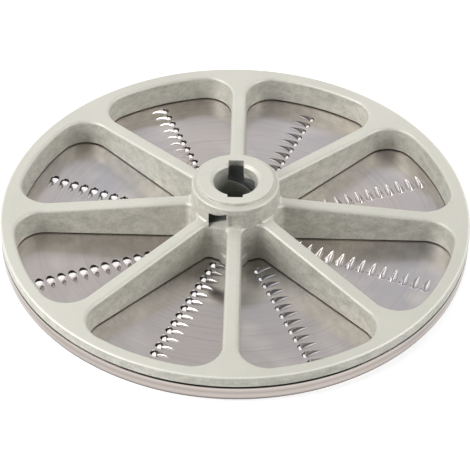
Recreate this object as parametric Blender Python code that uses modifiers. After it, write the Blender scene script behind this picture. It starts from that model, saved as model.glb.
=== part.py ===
"""Grating disc for a vegetable cutting machine.

An aluminium casting with a rim, eight ribs and a bayonet hub carries a pressed
stainless grating plate. The plate's skirt wraps the rim, and two low-head screws
hold it on bosses at the foot of the hub. The disc lies with its hub up, as it is
stored, and rests on the tips of its teeth.

Units are metres. The axis of the disc is Z and the tips of the teeth are at Z = 0.
The ribs stand at 0, 45, 90 degrees and so on, with a row of teeth between each pair.
"""

import math

import bmesh
import bpy
from mathutils import Matrix, Vector

# Disc and plate
DISC_D = 0.205
SHEET_T = 0.001
SKIRT_H = 0.007
BEND_R = 0.0018
FIT_GAP = 0.0003
RIM_SEGMENTS = 72

# Teeth of the plate
ROW_COUNT = 8
TOOTH_PITCH = 0.00497
FIRST_TOOTH_R = 0.0232
ROW_STAGGER = (0.0, 0.75, 0.25, 0.5)
TOOTH_DROP = 0.002
TOOTH_W = 0.0032
TOOTH_TAIL = 0.0068
TOOTH_NOSE = 0.0013
TOOTH_MARGIN = 0.0065

# Rim of the casting
RIM_H = 0.01255
RIM_W = 0.0063
RIM_EDGE_R = 0.0008
RIM_STEP_GAP = 0.0006
FOOT_GAP = 0.00045

# Ribs of the casting
RIB_COUNT = 8
RIB_W = 0.0072
RIB_RISE = 0.0066
RIB_RUNOUT = 0.0205
RIB_EDGE_R = 0.0015
CORNER_R = 0.012
ROOT_R = 0.0025
DRAFT_DEG = 2.0

# Hub of the casting
HUB_D = 0.038
HUB_H = 0.031
HUB_SEGMENTS = 40
LAND_D = 0.033
LAND_STEP = 0.0019
LAND_EDGE = 0.0004
SHOULDER_EDGE_R = 0.0008

# Bayonet socket in the hub
BORE_D = 0.0193
BORE_LEAD_IN = 0.0013
SOCKET_FLOOR = 0.0045
KEY_W = 0.0067
KEY_SPAN = 0.0246
CATCH_DEPTH = 0.006
CATCH_TURN_DEG = 60.0
CATCH_START_DEG = 22.0
RAMP_DEPTH = 0.01055
RAMP_LEAD = 0.0286
WINDOW_W = 0.0077
WINDOW_DEPTH = 0.0065
WINDOW_RISE = 0.0021
WINDOW_SILL = 0.0012
CORE_FLAT_CUT = 0.0005
CORE_FLAT_H = 0.006
CORE_FLAT_RISE = 0.00085
CORE_WALL = 0.00095

# Bosses and screws that hold the plate
BOSS_D = 0.0124
BOSS_H = 0.0052
BOSS_PLACE = 0.0172
SCREW_D = 0.005
SCREW_L = 0.010
HEAD_D = 0.009
HEAD_H = 0.0013
SLOT_W = 0.0012
SLOT_DEPTH = 0.0006

# Levels that follow from the sizes above
DISC_R = DISC_D / 2
SHEET_LOW = TOOTH_DROP
SHEET_TOP = SHEET_LOW + SHEET_T
CAST_LOW = SHEET_TOP + FOOT_GAP
RIM_TOP = SHEET_TOP + RIM_H
SKIRT_TOP = SHEET_TOP + SKIRT_H
HUB_TOP = SHEET_TOP + HUB_H
SHOULDER_TOP = HUB_TOP - LAND_STEP
HUB_R = HUB_D / 2
HUB_FOOT_R = HUB_R + 0.0003
BORE_R = BORE_D / 2
KEY_R = KEY_SPAN / 2
RIM_IN_R = DISC_R - RIM_W
SLOPE_END_R = DISC_R - RIB_RUNOUT
DRAFT = math.tan(math.radians(DRAFT_DEG))
CATCH_TOP = HUB_TOP - CATCH_DEPTH
RAMP_TOP = HUB_TOP - RAMP_DEPTH
OVERCUT = 0.001
LEDGE = 0.0001
SHARP_DEG = 28


def clear_scene():
    """Empty the scene of whatever the file held before."""
    for obj in list(bpy.data.objects):
        bpy.data.objects.remove(obj, do_unlink=True)


def make_collection(name):
    """Add a collection to the scene."""
    collection = bpy.data.collections.new(name)
    bpy.context.scene.collection.children.link(collection)
    return collection


def make_material(name, colour, roughness, metallic):
    """Make a Principled material with one finish."""
    material = bpy.data.materials.new(name)
    material.use_nodes = True
    shader = material.node_tree.nodes["Principled BSDF"]
    shader.inputs["Base Color"].default_value = (*colour, 1.0)
    shader.inputs["Roughness"].default_value = roughness
    shader.inputs["Metallic"].default_value = metallic
    return material


def add_object(name, mesh, collection, material=None):
    """Put a mesh in a collection as a named object."""
    obj = bpy.data.objects.new(name, mesh)
    collection.objects.link(obj)
    if material:
        mesh.materials.append(material)
    return obj


def add_from_bmesh(name, bm, collection, material=None):
    """Turn a closed bmesh into a named object, with its faces pointing out."""
    bmesh.ops.recalc_face_normals(bm, faces=bm.faces)
    mesh = bpy.data.meshes.new(name)
    bm.to_mesh(mesh)
    bm.free()
    return add_object(name, mesh, collection, material)


def as_cutter(obj):
    """Mark an object as a tool that is not part of the product."""
    obj.hide_render = True
    obj.display_type = "WIRE"
    return obj


def turned(name, profile, segments, collection, material=None):
    """Turn a profile of (radius, height) points, given from the top down, about Z."""
    mesh = bpy.data.meshes.new(name)
    points = [(radius, 0.0, height) for radius, height in profile]
    links = [(i, i + 1) for i in range(len(points) - 1)]
    mesh.from_pydata(points, links, [])
    obj = add_object(name, mesh, collection, material)
    screw = obj.modifiers.new("turn", "SCREW")
    screw.axis = "Z"
    screw.angle = math.tau
    screw.steps = segments
    screw.render_steps = segments
    screw.use_merge_vertices = True
    screw.merge_threshold = 0.00001
    screw.use_smooth_shade = False
    return obj


def combine(obj, tool, operation):
    """Cut an object with a tool, or join the tool to it."""
    modifier = obj.modifiers.new(tool.name, "BOOLEAN")
    modifier.operation = operation
    modifier.solver = "EXACT"
    modifier.object = tool


def finish(obj):
    """Keep the object as its modifiers make it, with smooth curves and sharp edges."""
    bpy.context.view_layer.update()
    depsgraph = bpy.context.evaluated_depsgraph_get()
    mesh = bpy.data.meshes.new_from_object(obj.evaluated_get(depsgraph))
    mesh.name = obj.name
    obj.modifiers.clear()
    obj.data = mesh
    mesh.shade_smooth()
    mesh.set_sharp_from_angle(angle=math.radians(SHARP_DEG))


def arc(centre, radius, start_deg, end_deg, steps):
    """Points along an arc, from its start to its end."""
    points = []
    for i in range(steps + 1):
        angle = math.radians(start_deg + (end_deg - start_deg) * i / steps)
        points.append((centre[0] + radius * math.cos(angle), centre[1] + radius * math.sin(angle)))
    return points


def box(bm, low, high):
    """Add a box between two corners and return its vertices."""
    low = Vector(low)
    high = Vector(high)
    size = high - low
    place = Matrix.Translation((low + high) / 2) @ Matrix.Diagonal((*size, 1.0))
    return bmesh.ops.create_cube(bm, size=1.0, matrix=place)["verts"]


def repeat_half_turn(bm):
    """Copy what is in the bmesh to the other side of the axis."""
    copy = bmesh.ops.duplicate(bm, geom=bm.verts[:] + bm.edges[:] + bm.faces[:])["geom"]
    verts = [item for item in copy if isinstance(item, bmesh.types.BMVert)]
    bmesh.ops.rotate(bm, verts=verts, cent=(0, 0, 0), matrix=Matrix.Rotation(math.pi, 3, "Z"))


def rib_top(radius):
    """Height of the tops of the ribs, which fall from the hub to the rim."""
    fall = RIB_RISE / (SLOPE_END_R - HUB_R)
    return RIM_TOP + fall * max(0.0, SLOPE_END_R - radius)


def half_step(segments):
    """Angle that puts a round piece's flats, and not its corners, on the X and Y axes."""
    return Matrix.Rotation(math.pi / segments, 4, "Z")


def pocket_outline():
    """Foot of one pocket between two ribs, as (point, outward direction, flare).

    The pocket is centred on +X. The upper half is drawn from the rim to the hub,
    then mirrored. The flare is 1 where the top edge is rounded, and fades to 0 at
    the hub, which goes on above the ribs.
    """
    half = math.pi / RIB_COUNT
    along = Vector((math.cos(half), math.sin(half)))
    across = Vector((-math.sin(half), math.cos(half)))
    half_rib = RIB_W / 2
    root_r = HUB_FOOT_R + LEDGE + DRAFT * (rib_top(HUB_R) - CAST_LOW)

    corner_off = half_rib + CORNER_R
    corner_along = math.sqrt((RIM_IN_R - CORNER_R) ** 2 - corner_off ** 2)
    corner = along * corner_along - across * corner_off
    root_off = half_rib + ROOT_R
    root_along = math.sqrt((root_r + ROOT_R) ** 2 - root_off ** 2)
    root = along * root_along - across * root_off

    def angle_of(vector):
        return math.degrees(math.atan2(vector.y, vector.x))

    rows = []
    for point in arc((0, 0), RIM_IN_R, 0, angle_of(corner), 3)[:-1]:
        rows.append((Vector(point), Vector(point).normalized(), 1.0))
    for point in arc(corner, CORNER_R, angle_of(corner), angle_of(across), 6):
        rows.append((Vector(point), (Vector(point) - corner).normalized(), 1.0))
    root_steps = 3
    for i, point in enumerate(arc(root, ROOT_R, angle_of(across), angle_of(root) + 180, root_steps)):
        rows.append((Vector(point), (Vector(point) - root).normalized(), 1.0 - i / root_steps))
    rows.append((Vector((root_r, 0)), Vector((-1, 0)), 0.0))

    mirrored = [(Vector((p.x, -p.y)), Vector((n.x, -n.y)), f) for p, n, f in rows[-2:0:-1]]
    return rows + mirrored


def pocket_tool(collection):
    """The eight pockets between the ribs: drafted walls and a rounded top edge."""
    bm = bmesh.new()
    outline = pocket_outline()
    bulge = 1 - math.sqrt(0.5)
    above = 0.4
    levels = (
        (0.0, -1.0),
        (bulge, -bulge),
        (1 + above * (1 - bulge) / bulge, above),
    )
    for k in range(RIB_COUNT):
        turn = Matrix.Rotation((k + 0.5) * math.tau / RIB_COUNT, 3, "Z")
        rings = [[]]
        for point, out, _ in outline:
            low = point - out * DRAFT * OVERCUT
            rings[0].append(bm.verts.new(turn @ Vector((low.x, low.y, CAST_LOW - OVERCUT))))
        for flare_out, rise in levels:
            ring = []
            for point, out, flare in outline:
                top = rib_top(point.length)
                height = top + rise * RIB_EDGE_R
                grown = DRAFT * (min(height, top) - CAST_LOW) + flare * flare_out * RIB_EDGE_R
                place = point + out * grown
                ring.append(bm.verts.new(turn @ Vector((place.x, place.y, height))))
            rings.append(ring)
        for lower, upper in zip(rings, rings[1:]):
            count = len(lower)
            for i in range(count):
                j = (i + 1) % count
                bm.faces.new((lower[i], lower[j], upper[j], upper[i]))
        bm.faces.new(rings[0][::-1])
        bm.faces.new(rings[-1])
    return as_cutter(add_from_bmesh("pocket_tool", bm, collection))


def hub_tool(collection):
    """The turned hub: a raised land, a shoulder and a barrel that ends inside the ribs."""
    land_r = LAND_D / 2
    shoulder = arc((HUB_R - SHOULDER_EDGE_R, SHOULDER_TOP - SHOULDER_EDGE_R), SHOULDER_EDGE_R, 90, 0, 2)
    profile = [
        (0.0, HUB_TOP),
        (land_r - LAND_EDGE, HUB_TOP),
        (land_r, HUB_TOP - LAND_EDGE),
        (land_r, SHOULDER_TOP),
        *shoulder,
        (HUB_FOOT_R, rib_top(HUB_R) - OVERCUT),
        (0.0, rib_top(HUB_R) - OVERCUT),
    ]
    return as_cutter(turned("hub_tool", profile, HUB_SEGMENTS, collection))


def boss_tool(collection):
    """Two round bosses at the foot of the hub, which the plate is screwed to."""
    bm = bmesh.new()
    low = SHEET_TOP + FIT_GAP
    height = SHEET_TOP + BOSS_H - low
    made = bmesh.ops.create_cone(
        bm, cap_ends=True, segments=24, radius1=BOSS_D / 2, radius2=BOSS_D / 2, depth=height,
        matrix=Matrix.Translation((0, -BOSS_PLACE, low + height / 2)) @ half_step(24))
    top = max(vert.co.z for vert in made["verts"])
    rim = [edge for edge in bm.edges if all(abs(vert.co.z - top) < OVERCUT / 10 for vert in edge.verts)]
    bmesh.ops.bevel(bm, geom=rim, offset=SHOULDER_EDGE_R, segments=1, affect="EDGES")
    repeat_half_turn(bm)
    return as_cutter(add_from_bmesh("boss_tool", bm, collection))


def ramp_height(angle_deg):
    """Height of the bayonet ramp at an angle from the middle of its keyway."""
    return RAMP_TOP + RAMP_LEAD * angle_deg / 360


def key_tool(collection):
    """The two keyways that the drive pin drops through, into the catches."""
    bm = bmesh.new()
    low = (ramp_height(CATCH_START_DEG) + CATCH_TOP) / 2
    box(bm, (-KEY_W / 2, -KEY_R, low), (KEY_W / 2, KEY_R, HUB_TOP + OVERCUT))
    return as_cutter(add_from_bmesh("key_tool", bm, collection))


def catch_tool(collection):
    """The two catches under the keyways: the drive pin turns into them, down a ramp."""
    bm = bmesh.new()
    corners = [(BORE_R - OVERCUT, 0.0), (KEY_R, 0.0), (KEY_R, CATCH_TOP), (BORE_R - OVERCUT, CATCH_TOP)]
    verts = [bm.verts.new((radius, 0, height)) for radius, height in corners]
    face = bm.faces.new(verts)
    start = Matrix.Rotation(math.radians(CATCH_START_DEG - 90), 3, "Z")
    bmesh.ops.rotate(bm, verts=verts, cent=(0, 0, 0), matrix=start)
    sweep = math.radians(-CATCH_START_DEG - CATCH_TURN_DEG)
    bmesh.ops.spin(bm, geom=[face, *face.edges, *verts], cent=(0, 0, 0), axis=(0, 0, 1),
                   angle=sweep, steps=9, use_duplicate=False)
    for vert in bm.verts:
        if vert.co.z < CATCH_TOP / 2:
            vert.co.z = ramp_height(math.degrees(math.atan2(vert.co.y, vert.co.x)) + 90)
    repeat_half_turn(bm)
    return as_cutter(add_from_bmesh("catch_tool", bm, collection))


def window_tool(collection):
    """The two windows through the wall of the hub, which the side core makes."""
    bm = bmesh.new()
    right = -KEY_W / 2 - LEDGE
    left = right - WINDOW_W
    verts = box(bm, (left, -HUB_R - OVERCUT, RAMP_TOP), (right, -WINDOW_DEPTH, CATCH_TOP))
    for vert in verts:
        reach = (vert.co.x - left) / WINDOW_W
        if vert.co.z < CATCH_TOP - OVERCUT:
            vert.co.z = ramp_height(-math.degrees(math.asin(-vert.co.x / HUB_R)))
            if vert.co.y < -HUB_R:
                vert.co.z -= WINDOW_SILL * reach
        else:
            vert.co.z += WINDOW_RISE * (reach - 0.25)
    repeat_half_turn(bm)
    return as_cutter(add_from_bmesh("window_tool", bm, collection))


def bore_tool(collection):
    """The blind bore of the socket, with its lead-in."""
    lead_r = BORE_R + BORE_LEAD_IN
    profile = [
        (0.0, HUB_TOP + OVERCUT),
        (lead_r + OVERCUT, HUB_TOP + OVERCUT),
        (BORE_R, HUB_TOP - BORE_LEAD_IN),
        (BORE_R, CAST_LOW + SOCKET_FLOOR),
        (0.0, CAST_LOW + SOCKET_FLOOR),
    ]
    bore = turned("bore_tool", profile, HUB_SEGMENTS, collection)
    bore.rotation_euler.z = math.pi / HUB_SEGMENTS
    return as_cutter(bore)


def flat_tool(collection):
    """The flat that the side core leaves on the hub, in front of each keyway."""
    bm = bmesh.new()
    face = HUB_R - CORE_FLAT_CUT
    left = -KEY_W / 2 - LEDGE + CORE_WALL
    low = rib_top(HUB_R) + CORE_FLAT_RISE
    box(bm, (left, -HUB_R - OVERCUT, low), (HUB_R / 2, -face, low + CORE_FLAT_H))
    repeat_half_turn(bm)
    return as_cutter(add_from_bmesh("flat_tool", bm, collection))


def screw_hole_tool(name, clearance, low, high, collection):
    """Two round holes for the plate screws."""
    bm = bmesh.new()
    radius = SCREW_D / 2 + clearance
    bmesh.ops.create_cone(bm, cap_ends=True, segments=16, radius1=radius, radius2=radius, depth=high - low,
                          matrix=Matrix.Translation((0, -BOSS_PLACE, (low + high) / 2)) @ half_step(16))
    repeat_half_turn(bm)
    return as_cutter(add_from_bmesh(name, bm, collection))


def build_casting(parts, tools, material):
    """The spoked casting, turned first and then cut."""
    wrap_r = DISC_R - SHEET_T - FIT_GAP
    step = SKIRT_TOP + RIM_STEP_GAP
    edge = arc((DISC_R - RIM_EDGE_R, RIM_TOP - RIM_EDGE_R), RIM_EDGE_R, 90, 0, 2)
    chamfer = BEND_R * 2 / 3
    profile = [
        (0.0, rib_top(BORE_R)),
        (BORE_R, rib_top(BORE_R)),
        (SLOPE_END_R, RIM_TOP),
        *edge,
        (DISC_R, step),
        (wrap_r, step),
        (wrap_r, CAST_LOW + chamfer),
        (wrap_r - chamfer, CAST_LOW),
        (0.0, CAST_LOW),
    ]
    casting = turned("spoked_casting", profile, RIM_SEGMENTS, parts, material)
    combine(casting, pocket_tool(tools), "DIFFERENCE")
    combine(casting, hub_tool(tools), "UNION")
    combine(casting, boss_tool(tools), "UNION")
    combine(casting, key_tool(tools), "DIFFERENCE")
    combine(casting, catch_tool(tools), "DIFFERENCE")
    combine(casting, window_tool(tools), "DIFFERENCE")
    combine(casting, bore_tool(tools), "DIFFERENCE")
    combine(casting, flat_tool(tools), "DIFFERENCE")
    screw_end = SHEET_TOP + SCREW_L + FIT_GAP
    hole = screw_hole_tool("tapped_hole_tool", FIT_GAP, SHEET_LOW, screw_end, tools)
    combine(casting, hole, "DIFFERENCE")
    finish(casting)


def teeth_per_row():
    """Number of teeth that fit between the first one and the bend of the plate."""
    last_r = DISC_R - SHEET_T - BEND_R - TOOTH_MARGIN - max(ROW_STAGGER) * TOOTH_PITCH
    return int((last_r - FIRST_TOOTH_R) / TOOTH_PITCH) + 1


def tooth_frame(row, index):
    """Placement of a tooth: its hole on the row, its tail anticlockwise of it."""
    stagger = ROW_STAGGER[row % len(ROW_STAGGER)]
    radius = FIRST_TOOTH_R + (index + stagger) * TOOTH_PITCH
    angle = math.radians(-90) + (row - 0.5) * math.tau / ROW_COUNT
    return Matrix.Rotation(angle, 4, "Z") @ Matrix.Translation((radius, 0, SHEET_LOW))


def add_tooth(bm, place):
    """Add one punched tooth, and return the edges of the hole it leaves in the flat sheet.

    Local X runs out along the row and local Y towards the tail. The sheet is drawn
    down into a groove that ends in a raised lip, and the mouth under the lip is open.
    """
    half = TOOTH_W / 2

    def pair(x, y, z):
        return [bm.verts.new(place @ Vector((side * x, y, z))) for side in (-1, 1)]

    tail = bm.verts.new(place @ Vector((0, TOOTH_TAIL, 0)))
    waist = pair(half * 0.86, TOOTH_TAIL / 2, 0)
    cheek = pair(half, -TOOTH_NOSE / 4, 0)
    nose = bm.verts.new(place @ Vector((0, -TOOTH_NOSE, 0)))
    groove = bm.verts.new(place @ Vector((0, TOOTH_TAIL / 2, -TOOTH_DROP * 0.55)))
    lip = pair(half * 0.5, -TOOTH_NOSE * 0.7, -TOOTH_DROP)

    for side in (0, 1):
        faces = [
            (tail, waist[side], groove),
            (waist[side], cheek[side], lip[side], groove),
        ]
        for corners in faces:
            bm.faces.new(corners if side == 0 else corners[::-1])
    bm.faces.new((groove, lip[0], lip[1]))
    loop = [tail, waist[0], cheek[0], nose, cheek[1], waist[1]]
    edges = []
    for first, second in zip(loop, loop[1:] + loop[:1]):
        edge = bm.edges.get((first, second))
        edges.append(edge if edge else bm.edges.new((first, second)))
    return edges


def build_plate(parts, tools, material):
    """The grating plate: a sheet with punched teeth and a skirt turned up at its edge."""
    bm = bmesh.new()
    outer_bend = BEND_R + SHEET_T
    flat_r = DISC_R - outer_bend
    level = Matrix.Translation((0, 0, SHEET_LOW))
    bmesh.ops.create_circle(bm, cap_ends=False, segments=RIM_SEGMENTS, radius=flat_r, matrix=level)
    rim = bm.edges[:]
    outlines = rim[:]
    for row in range(ROW_COUNT):
        for index in range(teeth_per_row()):
            outlines += add_tooth(bm, tooth_frame(row, index))
    for side in (-1, 1):
        place = level @ Matrix.Translation((0, side * BOSS_PLACE, 0)) @ half_step(16)
        hole = bmesh.ops.create_circle(bm, cap_ends=False, segments=16, radius=SCREW_D / 2 + FIT_GAP,
                                       matrix=place)
        outlines += list({edge for vert in hole["verts"] for edge in vert.link_edges})
    bmesh.ops.triangle_fill(bm, use_beauty=True, use_dissolve=False, edges=outlines, normal=(0, 0, 1))

    bend = arc((flat_r, SHEET_LOW + outer_bend), outer_bend, -90, 0, 2)[1:]
    for radius, height in bend + [(DISC_R, SKIRT_TOP)]:
        grown = bmesh.ops.extrude_edge_only(bm, edges=rim)["geom"]
        rim = [item for item in grown if isinstance(item, bmesh.types.BMEdge)]
        for vert in {vert for edge in rim for vert in edge.verts}:
            flat = Vector((vert.co.x, vert.co.y)).normalized() * radius
            vert.co = (flat.x, flat.y, height)
    bmesh.ops.recalc_face_normals(bm, faces=bm.faces)
    floor = max(bm.faces, key=lambda face: abs(face.normal.z) * face.calc_area())
    if floor.normal.z > 0:
        bmesh.ops.reverse_faces(bm, faces=bm.faces)
    mesh = bpy.data.meshes.new("grating_plate")
    bm.to_mesh(mesh)
    bm.free()
    plate = add_object("grating_plate", mesh, parts, material)
    sheet = plate.modifiers.new("sheet", "SOLIDIFY")
    sheet.thickness = SHEET_T
    sheet.offset = -1.0
    finish(plate)


def build_screw(name, side, parts, tools, material):
    """A low-head screw from the cutting side into one boss, with a slot in its head."""
    shank_r = SCREW_D / 2
    seat = SHEET_LOW - FIT_GAP
    head_low = seat - HEAD_H
    end = SHEET_TOP + SCREW_L
    profile = [
        (0.0, end),
        (shank_r * 0.8, end),
        (shank_r, end - shank_r * 0.2),
        (shank_r, seat),
        (HEAD_D / 2, seat),
        (HEAD_D / 2, seat - HEAD_H / 2),
        (HEAD_D / 2 - HEAD_H / 2, head_low),
        (0.0, head_low),
    ]
    screw = turned(name, profile, 16, parts, material)
    screw.location = (0, side * BOSS_PLACE, 0)
    bm = bmesh.new()
    box(bm, (-HEAD_D, side * BOSS_PLACE - SLOT_W / 2, head_low - OVERCUT),
        (HEAD_D, side * BOSS_PLACE + SLOT_W / 2, head_low + SLOT_DEPTH))
    slot = as_cutter(add_from_bmesh(name + "_slot_tool", bm, tools))
    combine(screw, slot, "DIFFERENCE")
    finish(screw)


def main():
    """Build the disc."""
    clear_scene()
    parts = make_collection("grating_disc")
    tools = make_collection("tools")
    cast_alloy = make_material("cast_alloy", (0.62, 0.62, 0.55), 0.55, 0.35)
    brushed_steel = make_material("brushed_steel", (0.56, 0.54, 0.55), 0.32, 1.0)
    screw_steel = make_material("screw_steel", (0.60, 0.59, 0.58), 0.30, 1.0)
    build_casting(parts, tools, cast_alloy)
    build_plate(parts, tools, brushed_steel)
    build_screw("plate_screw_front", -1, parts, tools, screw_steel)
    build_screw("plate_screw_rear", 1, parts, tools, screw_steel)


main()
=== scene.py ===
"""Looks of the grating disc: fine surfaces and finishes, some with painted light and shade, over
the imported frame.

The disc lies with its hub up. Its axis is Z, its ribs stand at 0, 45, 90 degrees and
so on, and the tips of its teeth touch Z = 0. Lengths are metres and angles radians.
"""

import logging
import math
from dataclasses import dataclass
from enum import Enum
from typing import Any, Iterable, Optional, Sequence, Union

import bmesh
import bpy
from mathutils import Matrix, Vector


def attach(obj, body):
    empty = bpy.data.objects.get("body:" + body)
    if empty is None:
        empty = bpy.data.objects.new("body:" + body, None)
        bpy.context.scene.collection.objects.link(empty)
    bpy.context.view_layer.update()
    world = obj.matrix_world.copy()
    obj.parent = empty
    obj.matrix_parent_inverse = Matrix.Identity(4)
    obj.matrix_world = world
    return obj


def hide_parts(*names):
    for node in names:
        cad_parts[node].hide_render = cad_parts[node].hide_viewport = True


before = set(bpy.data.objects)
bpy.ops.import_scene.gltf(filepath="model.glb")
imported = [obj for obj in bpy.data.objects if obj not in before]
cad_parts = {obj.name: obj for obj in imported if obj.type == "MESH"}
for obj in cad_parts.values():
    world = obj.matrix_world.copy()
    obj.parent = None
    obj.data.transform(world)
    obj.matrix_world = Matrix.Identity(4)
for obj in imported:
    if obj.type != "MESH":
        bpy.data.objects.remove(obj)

LOG = logging.getLogger("grating_disc")
MM = 0.001
RIBS = 8
OUTER_R = 102.5 * MM
BOSS_PLACE = 17.2 * MM
SCREW_HOLE_R = 2.8 * MM
ON_AXIS = 1e-9
SHORT_EDGE = 0.02 * MM
MERGE = 0.002 * MM
WELD = 0.005 * MM
Number = Union[int, float]
Point = tuple[float, float]
Colour = tuple[float, float, float]


class Side(Enum):
    """The two sides of the hub that carry a keyway, a window, a boss and a screw."""

    FRONT = -1
    REAR = 1


class Join(Enum):
    """How a shaped piece meets the casting."""

    ADD = "UNION"
    CUT = "DIFFERENCE"


class Level(Enum):
    """The kinds of loop that shape a pocket's wall, from its foot up."""

    FOOT = "foot"
    EDGE = "edge"
    ABOVE = "above"
    LID = "lid"


class Signal:
    """An output socket that can be used in arithmetic with other signals and numbers."""

    def __init__(self, graph: "NodeGraph", socket: bpy.types.NodeSocket) -> None:
        """Wrap a socket.

        Args:
            graph: The graph that the socket belongs to.
            socket: The output socket to wrap.
        """
        self.graph = graph
        self.socket = socket

    def _maths(self, operation: str, first: Any, second: Any = None) -> "Signal":
        """Add one Math node and return its result."""
        inputs = {0: first} if second is None else {0: first, 1: second}
        return self.graph.node("ShaderNodeMath", {"operation": operation}, inputs)

    def __add__(self, other: Any) -> "Signal":
        """Sum of two values."""
        return self._maths("ADD", self, other)

    def __radd__(self, other: Any) -> "Signal":
        """Sum with the number on the left."""
        return self._maths("ADD", other, self)

    def __sub__(self, other: Any) -> "Signal":
        """Difference of two values."""
        return self._maths("SUBTRACT", self, other)

    def __rsub__(self, other: Any) -> "Signal":
        """Difference with the number on the left."""
        return self._maths("SUBTRACT", other, self)

    def __mul__(self, other: Any) -> "Signal":
        """Product of two values."""
        return self._maths("MULTIPLY", self, other)

    def __rmul__(self, other: Any) -> "Signal":
        """Product with the number on the left."""
        return self._maths("MULTIPLY", other, self)

    def __truediv__(self, other: Any) -> "Signal":
        """Quotient of two values."""
        return self._maths("DIVIDE", self, other)

    def __pow__(self, other: Any) -> "Signal":
        """Power of a value."""
        return self._maths("POWER", self, other)

    def floor(self) -> "Signal":
        """Whole part of a value."""
        return self._maths("FLOOR", self)

    def modulo(self, other: Any) -> "Signal":
        """Remainder of a division."""
        return self._maths("MODULO", self, other)

    def cosine(self) -> "Signal":
        """Cosine of an angle."""
        return self._maths("COSINE", self)

    def sine(self) -> "Signal":
        """Sine of an angle."""
        return self._maths("SINE", self)

    def absolute(self) -> "Signal":
        """Size of a value without its sign."""
        return self._maths("ABSOLUTE", self)

    def clamped(self, low: Number, high: Number) -> "Signal":
        """Value kept between two limits."""
        return self._maths("MINIMUM", self._maths("MAXIMUM", self, low), high)

    def above(self, level: Any, slope: Number) -> "Signal":
        """Mask that is 0 up to a level and then rises to 1, at a slope per unit."""
        return ((self - level) * slope).clamped(0.0, 1.0)

    def beneath(self, level: Any, slope: Number) -> "Signal":
        """Mask that is 0 down to a level and then rises to 1, at a slope per unit."""
        return ((level - self) * slope).clamped(0.0, 1.0)

    def angle_to(self, other: Any) -> "Signal":
        """Angle of the point (other, self) about the origin."""
        return self._maths("ARCTAN2", self, other)


class NodeGraph:
    """A node tree that is written as calls and expressions."""

    def __init__(self, tree: bpy.types.NodeTree) -> None:
        """Start on an emptied tree.

        Args:
            tree: The node tree to fill.
        """
        self.tree = tree
        tree.nodes.clear()

    def add(
        self,
        kind: str,
        settings: Optional[dict[str, Any]] = None,
        inputs: Optional[dict[Union[int, str], Any]] = None,
    ) -> bpy.types.Node:
        """Add a node, set it up and feed its sockets.

        Args:
            kind: The node's type.
            settings: Its properties. A ramp takes "stops", a list of places and colours.
            inputs: Values, or signals to link, by socket name or number.

        Returns:
            The new node.
        """
        node = self.tree.nodes.new(kind)
        for key, value in (settings or {}).items():
            if key == "stops":
                self._fill_ramp(node.color_ramp, value)
            else:
                setattr(node, key, value)
        for key, value in (inputs or {}).items():
            socket = node.inputs[key]
            if isinstance(value, Signal):
                self.tree.links.new(value.socket, socket)
            else:
                socket.default_value = value
        return node

    def node(
        self,
        kind: str,
        settings: Optional[dict[str, Any]] = None,
        inputs: Optional[dict[Union[int, str], Any]] = None,
        output: Union[int, str] = 0,
    ) -> Signal:
        """Add a node and return one of its outputs as a signal.

        Args:
            kind: The node's type.
            settings: Its properties.
            inputs: Values, or signals to link, by socket name or number.
            output: Name or number of the output.

        Returns:
            The output that was asked for.
        """
        return Signal(self, self.add(kind, settings, inputs).outputs[output])

    @staticmethod
    def _fill_ramp(
        ramp: bpy.types.ColorRamp, stops: Sequence[tuple[float, Sequence[float]]]
    ) -> None:
        """Give a ramp its stops.

        Args:
            ramp: The ramp to fill.
            stops: Positions and colours, in rising order.
        """
        while len(ramp.elements) < len(stops):
            ramp.elements.new(1.0)
        for element, (position, colour) in zip(ramp.elements, stops):
            element.position = position
            element.color = (*colour[:3], 1.0)

    def blend(self, first: Any, second: Any, factor: Any) -> Signal:
        """Mix two colours.

        Args:
            first: Colour where the factor is 0.
            second: Colour where the factor is 1.
            factor: Share of the second colour.

        Returns:
            The mixed colour.
        """
        settings = {"data_type": "RGBA", "clamp_factor": True}
        return self.node("ShaderNodeMix", settings, {0: factor, 6: first, 7: second}, 2)

    def scaled_vector(self, vector: Signal, scale: Sequence[float]) -> Signal:
        """Stretch a vector by three numbers."""
        inputs = {0: vector, 1: tuple(scale)}
        return self.node("ShaderNodeVectorMath", {"operation": "MULTIPLY"}, inputs)

    def noise(
        self, vector: Signal, scale: float, detail: float = 2.0, roughness: float = 0.5
    ) -> Signal:
        """Noise between 0 and 1.

        Args:
            vector: Where the noise is read.
            scale: Features per metre.
            detail: Octaves.
            roughness: Weight of the finer octaves.

        Returns:
            The noise value.
        """
        inputs = {"Vector": vector, "Scale": scale, "Detail": detail, "Roughness": roughness}
        return self.node("ShaderNodeTexNoise", {"noise_dimensions": "3D"}, inputs, 0)

    def parts(self, vector: Signal) -> tuple[Signal, Signal, Signal]:
        """Split a vector into its X, Y and Z."""
        split = self.add("ShaderNodeSeparateXYZ", inputs={0: vector})
        return (
            Signal(self, split.outputs[0]),
            Signal(self, split.outputs[1]),
            Signal(self, split.outputs[2]),
        )

    def place(self) -> Signal:
        """Object coordinates, which are the frame's own metres."""
        return self.node("ShaderNodeTexCoord", output="Object")

    def steepness(self) -> Signal:
        """How steep the surface is, from 0 where it lies flat to 1 where it is upright."""
        normal = self.node("ShaderNodeNewGeometry", output="Normal")
        return 1.0 - self.node("ShaderNodeSeparateXYZ", inputs={0: normal}, output="Z").absolute()

    def relief(self, strength: float, distance: float, height: Signal) -> Signal:
        """Normal of a surface that is raised by a value."""
        inputs = {"Strength": strength, "Distance": distance, "Height": height}
        return self.node("ShaderNodeBump", inputs=inputs)

    def surface(self, inputs: dict[str, Any]) -> None:
        """End the tree in a Principled shader.

        Args:
            inputs: Values, or signals to link, by socket name.
        """
        shader = self.node("ShaderNodeBsdfPrincipled", inputs=inputs)
        self.add("ShaderNodeOutputMaterial", inputs={"Surface": shader})


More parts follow.
